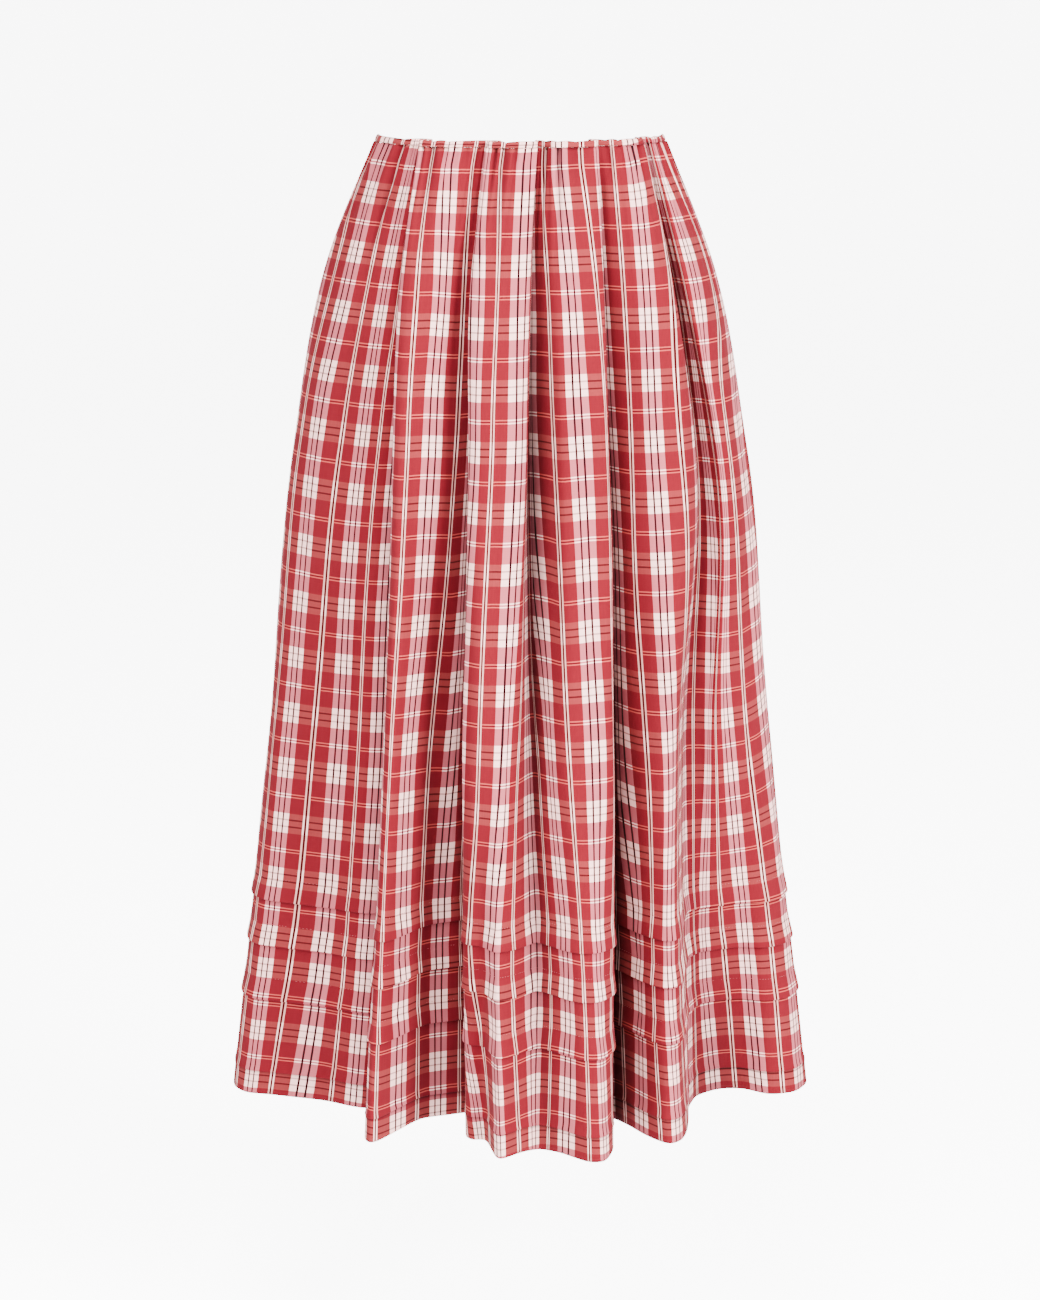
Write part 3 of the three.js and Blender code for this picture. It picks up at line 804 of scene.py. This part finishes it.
@dataclass
class Panel:
    """One straight-cut panel of the skirt, with the three pressed tucks that part it into tiers.

    Attributes:
        side: front or back.
        drape: the hanging form.
        column: cloth between two columns of points.
        thick: wall of the cloth.
        overlap: how far a tier starts behind the flap above it.
    """

    side: Side
    drape: Drape
    column: float = 3.6
    thick: float = 0.7
    overlap: float = 14.0

    @staticmethod
    def edge(number: int) -> float:
        """Drop of a tier's lower edge: its tuck's, or just above the hem band."""
        return (*TUCK_EDGES, LENGTH - HEM_BAND - 0.3)[number]

    def tier_drops(self, number: int) -> np.ndarray:
        """Drops of one tier's rows: fine near the waist, near its flap and at its edge."""
        edge = self.edge(number)
        turn = edge - np.array([TUCK_FLAP, 17.5, 15, 12, 8, 4, 1.6, 0.7, 0.25, 0.0])
        if number == 0:
            top = np.concatenate([np.arange(5.8, 40, 2.6), np.arange(42, 160, 5.0), np.arange(166, 640, 8.5)])
            return np.concatenate([top, turn])
        start = TUCK_EDGES[number - 1] - self.overlap
        body = np.arange(start, edge - TUCK_FLAP - 1, 3.2)
        return np.concatenate([body, turn[turn > body[-1] + 0.5]])

    def tier_lift(self, number: int, drop: np.ndarray, cloth: np.ndarray) -> np.ndarray:
        """How far a tier's face stands out: behind the flap above it at its top, and out over the tier
        below at its pressed edge, with small puckers along the line where the tuck is stitched.

        Args:
            number: the tier, from the top.
            drop: (m,) drops.
            cloth: (n,) cloth places.
        """
        edge = self.edge(number)
        tucked = number < len(TUCK_EDGES)
        full = TUCK_LIFT if tucked else 1.1
        flap = TUCK_FLAP if tucked else 6.0
        lift = full * np.clip((drop - (edge - flap)) / flap, 0, 1)
        if number:
            hidden = np.clip((TUCK_EDGES[number - 1] + 1 - drop) / 8, 0, 1)
            lift = lift - 0.35 * hidden
        lift = lift - 0.45 * np.clip(1 - (edge - drop) / 0.8, 0, 1) ** 2
        h = drop[:, None] - (edge - flap)
        pucker = np.exp(-((h / 6.0) ** 2)) * 0.22
        wave = np.sin(cloth / 2.1) + np.sin(cloth / 3.37 + 1.3) + 0.6 * np.sin(cloth / 5.9)
        return lift[:, None] + pucker * wave[None, :]

    def build(self, material: bpy.types.Material) -> list[bpy.types.Object]:
        """The four tiers of the panel, top to bottom."""
        word = self.side.name.lower()
        cloth = panel_columns(self.side, self.column)
        made = []
        for number in range(len(TIER_LENGTHS)):
            drop = self.tier_drops(number)
            top = TUCK_EDGES[max(number - 1, 0)]
            weft = TIER_WEFT[number] + (drop - top) * FLARE
            lift = self.tier_lift(number, drop, cloth)
            name = f"{word}_panel_tier_{number + 1}"
            under = top if number else NO_LEDGE
            made.append(cloth_shell(name, self.drape, cloth, drop, lift, self.thick, weft, material, under))
        return made


@dataclass
class HemBand:
    """The narrow band along the hem of one panel, folded double at its lower edge.

    Attributes:
        side: front or back.
        drape: the hanging form.
        column: cloth between two columns of points.
        thick: wall of the folded cloth.
    """

    side: Side
    drape: Drape
    column: float = 3.6
    thick: float = 1.1

    def build(self, material: bpy.types.Material) -> bpy.types.Object:
        """The band as a closed strip, a little behind the panel's edge at its top."""
        cloth = panel_columns(self.side, self.column)
        top = LENGTH - HEM_BAND
        body = np.linspace(top, LENGTH - 1.2, 8)
        drop = np.concatenate([[top - 3, top - 1], body, [LENGTH - 0.5, LENGTH - 0.12, LENGTH]])
        lift = 0.25 - 0.35 * np.clip((top - drop) / 3, 0, 1) - 0.3 * np.clip(1 - (LENGTH - drop) / 0.7, 0, 1)
        wave = 0.12 * np.sin(cloth / 2.3 + 0.5) + 0.1 * np.sin(cloth / 3.9)
        lift = lift[:, None] + wave[None, :] * np.exp(-(((drop - top) / 5) ** 2))[:, None]
        weft = TIER_WEFT[4] + (drop - top)
        name = f"hem_band_{self.side.name.lower()}_cloth"
        return cloth_shell(name, self.drape, cloth, drop, lift, self.thick, weft, material, top)


@dataclass
class WaistCasing:
    """The narrow rolled casing round the waist, pinched by its elastic into small cushions.

    Attributes:
        drape: the hanging form.
        column: cloth between two rings of points.
        around: points in a ring.
    """

    drape: Drape
    column: float = 3.0
    around: int = 16

    def build(self, material: bpy.types.Material) -> bpy.types.Object:
        """A closed ring: a flattened oval carried round the waist, whose top edge and face swell between
        the gathers as the root of a sine."""
        count = int(WHOLE_CLOTH / self.column)
        cloth = np.arange(count) * (WHOLE_CLOTH / count)
        deep = [g[0] for g in GATHERS if g[2] >= 2]
        places = np.sort(np.concatenate([deep, [g * 0.9 + BACK_SHIFT for g in deep]]))
        i = np.searchsorted(places, cloth)
        low = np.where(i > 0, places[np.maximum(i - 1, 0)], places[-1] - WHOLE_CLOTH)
        high = np.where(i < len(places), places[np.minimum(i, len(places) - 1)], places[0] + WHOLE_CLOTH)
        swell = np.sqrt(np.clip(np.sin(np.pi * (cloth - low) / (high - low)), 0, 1))
        turn = np.linspace(0, 2 * np.pi, self.around, endpoint=False)
        drop = CASING_HEIGHT / 2 * (1 - np.sign(np.cos(turn)) * np.abs(np.cos(turn)) ** 0.8)
        out = -0.85 + 1.15 * np.sign(np.sin(turn)) * np.abs(np.sin(turn)) ** 0.7
        x, y = self.drape.plan(cloth, drop)
        xa, ya = self.drape.plan(cloth - 4, drop)
        xb, yb = self.drape.plan(cloth + 4, drop)
        size = np.hypot(xb - xa, yb - ya)
        face = out[:, None] + (swell[None, :] - 0.8) * (0.6 * np.sin(turn)[:, None])
        top = np.clip(1 - drop / CASING_HEIGHT, 0, 1)[:, None] * (1 - swell[None, :]) * 1.3
        z = -(drop[:, None] + top) - self.drape.dip(y, drop[:, None])
        points = np.stack([x + face * (yb - ya) / size, y - face * (xb - xa) / size, z], -1) * MM
        number = np.arange(self.around)[:, None] * (count + 1) + np.arange(count + 1)[None, :]
        ring = np.concatenate([points, points[:, :1]], axis=1)
        rows = np.concatenate([number, number[:1]])
        a, b, c, d = rows[1:, :-1], rows[1:, 1:], rows[:-1, 1:], rows[:-1, :-1]
        faces = np.stack([a, b, c, d], -1).reshape(-1, 4)
        u = np.append(cloth, WHOLE_CLOTH)
        level = WEAVE_LEVELS[:1]
        v = np.where(np.sin(turn) >= 0, drop, -drop)[:, None] - 2.0
        v = v + weave_shift(WEFT_SHIFT, u, level)
        u = u + weave_shift(WEAVE_SHIFT, u, level)
        places_uv = np.stack(np.broadcast_arrays(u, v), -1).reshape(-1, 2) * MM
        piece = make_mesh("waist_casing_cloth", ring.reshape(-1, 3), faces, places_uv, material)
        weld(piece)
        return piece


def weld(piece: bpy.types.Object) -> None:
    """Joins points of a piece that lie on one another, so that its seam closes."""
    work = bmesh.new()
    work.from_mesh(piece.data)
    bmesh.ops.remove_doubles(work, verts=work.verts, dist=1e-6)
    work.to_mesh(piece.data)
    work.free()


@dataclass
class StitchLine:
    """A line of small straight stitches round one panel, at one drop.

    Attributes:
        side: front or back.
        drape: the hanging form.
        drop: place down the skirt.
        lift: distance out from the cloth line.
        pitch: from one stitch to the next along the cloth.
        long: length of a stitch.
        wide: thickness of the thread.
    """

    side: Side
    drape: Drape
    drop: float
    lift: float
    pitch: float = 3.2
    long: float = 2.0
    wide: float = 0.34

    def build(self, material: bpy.types.Material) -> bpy.types.Object:
        """Every stitch is a low lens of thread: a six-sided ring between two pointed ends."""
        start, end = self.side.value + 4, self.side.value + FRONT_CLOTH - 4
        middle = np.arange(start, end, self.pitch)
        along = np.array([-0.5, -0.3, 0.0, 0.3, 0.5]) * self.long
        girth = np.array([0.1, 0.9, 1.0, 0.9, 0.1]) * self.wide / 2
        cloth = (middle[:, None] + along[None, :]).ravel()
        drop = np.array([self.drop])
        centre = self.drape.points(cloth, drop, np.full((1, len(cloth)), self.lift))[0]
        outer = self.drape.points(cloth, drop, np.full((1, len(cloth)), self.lift + 1))[0]
        normal = (outer - centre) / np.linalg.norm(outer - centre, axis=1)[:, None]
        up = np.array([0.0, 0.0, 1.0])
        size = np.tile(girth, len(middle))[:, None, None] * MM
        turn = np.arange(6) * np.pi / 3
        ring = normal[:, None, :] * np.cos(turn)[None, :, None] * 0.7 + up * np.sin(turn)[None, :, None]
        points = (centre[:, None, :] + ring * size).reshape(-1, 3)
        first = np.arange(len(middle))[:, None, None] * 30 + np.arange(4)[None, :, None] * 6
        k = np.arange(6)[None, None, :]
        nxt = (k + 1) % 6
        faces = np.stack([first + k + 6, first + nxt + 6, first + nxt, first + k], -1).reshape(-1, 4)
        base = np.arange(len(middle)) * 30
        ends = ((0, 1, 2, 3), (0, 3, 4, 5), (24, 29, 28, 27), (24, 27, 26, 25))
        caps = [base[:, None] + np.array(corners) for corners in ends]
        faces = np.concatenate([faces, *caps])
        name = f"{self.side.name.lower()}_stitches_{self.drop:.0f}"
        return make_mesh(name, points, faces, np.zeros((len(points), 2)), material)


# Lamps: name, middle in metres, length of side, watts
LAMPS = (
    ("key", (2.5, -3.0, 1.1), 1.2, 850),
    ("fill", (-2.3, -3.0, 0.7), 1.6, 300),
    ("top", (-0.3, -1.9, 2.2), 1.0, 260),
    ("back", (0.6, 3.2, 1.6), 2.0, 36),
)


@dataclass
class Studio:
    """The pale floor, the soft lights and the camera at the photo's angle.

    Attributes:
        distance: from the waist to the camera, level.
        height: of the camera over the waist.
        pitch: how far the camera looks down, in degrees.
        focal: in pixels of a frame 1300 pixels high.
    """

    distance: float = 3.0
    height: float = 0.19
    pitch: float = 12.0
    focal: float = 3506.0

    def floor(self) -> bpy.types.Object:
        """A wide pale floor under the skirt, as a bowl that rises far from it: z = floor + rise."""
        r = np.concatenate([np.linspace(0.0, 8, 9), 8 + np.linspace(0.6, 6, 10)])
        angle = np.linspace(0, 2 * np.pi, 49)
        rise = np.where(r > 8, (r - 8) ** 2 * 0.28, 0.0) - LENGTH * MM - 0.28
        points = np.stack(
            np.broadcast_arrays(r[:, None] * np.cos(angle), r[:, None] * np.sin(angle), rise[:, None]), -1
        ).reshape(-1, 3)
        faces = grid_faces(len(r), len(angle), 0)
        finish = Plain((0.93, 0.93, 0.93, 1), 0.9, 7.0).material("floor")
        made = make_mesh("floor", points, faces, np.zeros((len(points), 2)), finish)
        weld(made)
        return made

    def lamp(self, name: str, place: Sequence[float], size: float, power: float) -> None:
        """A square soft light that looks at the middle of the skirt.

        Args:
            name: the light's name.
            place: its middle, in metres.
            size: length of its side.
            power: in watts.
        """
        light = bpy.data.lights.new(name, "AREA")
        light.size = size
        light.energy = power
        made = bpy.data.objects.new(name, light)
        bpy.context.scene.collection.objects.link(made)
        made.location = place
        aim = np.array([0.0, 0.0, -0.45]) - np.array(place)
        yaw = math.atan2(aim[1], aim[0]) - math.pi / 2
        tilt = math.atan2(math.hypot(aim[0], aim[1]), -aim[2])
        made.rotation_euler = (tilt, 0.0, yaw)

    def build(self) -> None:
        """Floor, lights, even surroundings and camera."""
        self.floor()
        world = bpy.data.worlds.new("studio")
        world.use_nodes = True
        world.node_tree.nodes["Background"].inputs[0].default_value = (1.0, 1.0, 1.0, 1.0)
        world.node_tree.nodes["Background"].inputs[1].default_value = 0.9
        bpy.context.scene.world = world
        for name, place, size, power in LAMPS:
            self.lamp(name, place, size, power)
        camera = bpy.data.cameras.new("camera")
        camera.sensor_width = 36.0
        camera.lens = 36.0 * self.focal / 1300
        made = bpy.data.objects.new("camera", camera)
        bpy.context.scene.collection.objects.link(made)
        made.location = (0.0, -self.distance, self.height)
        made.rotation_euler = (math.radians(90 - self.pitch), 0.0, 0.0)
        bpy.context.scene.camera = made


def finish_piece(piece: bpy.types.Object) -> None:
    """A piece moves with the skirt, and its count of faces is logged."""
    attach(piece, "root")
    LOG.info("%s: %d faces", piece.name, len(piece.data.polygons))


def build_side(side: Side, drape: Drape, cotton: bpy.types.Material, thread: bpy.types.Material) -> None:
    """One panel with its hem band and its stitch lines, set over their solids.

    Args:
        side: front or back.
        drape: the hanging form.
        cotton: finish of the cloth.
        thread: finish of the stitches.
    """
    word = side.name.lower()
    tiers = Panel(side, drape).build(cotton)
    band = HemBand(side, drape).build(cotton)
    for piece in tiers:
        finish_piece(piece)
    finish_piece(band)
    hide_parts(f"{word}_panel")
    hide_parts(f"hem_band_{word}")
    for edge in TUCK_EDGES:
        line = StitchLine(side, drape, edge - TUCK_FLAP, 0.02).build(thread)
        finish_piece(line)


def main() -> None:
    """Builds the skirt, then the studio round it."""
    logging.basicConfig(level=logging.INFO, format="%(message)s")
    drape = Drape()
    plaid = Plaid().group()
    cotton = Cotton().material("plaid cotton", plaid)
    thread = Plain().material("thread")
    for side in Side:
        build_side(side, drape, cotton, thread)
    casing = WaistCasing(drape).build(cotton)
    finish_piece(casing)
    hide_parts("waist_casing")
    Studio().build()


if __name__ == "__main__":
    main()
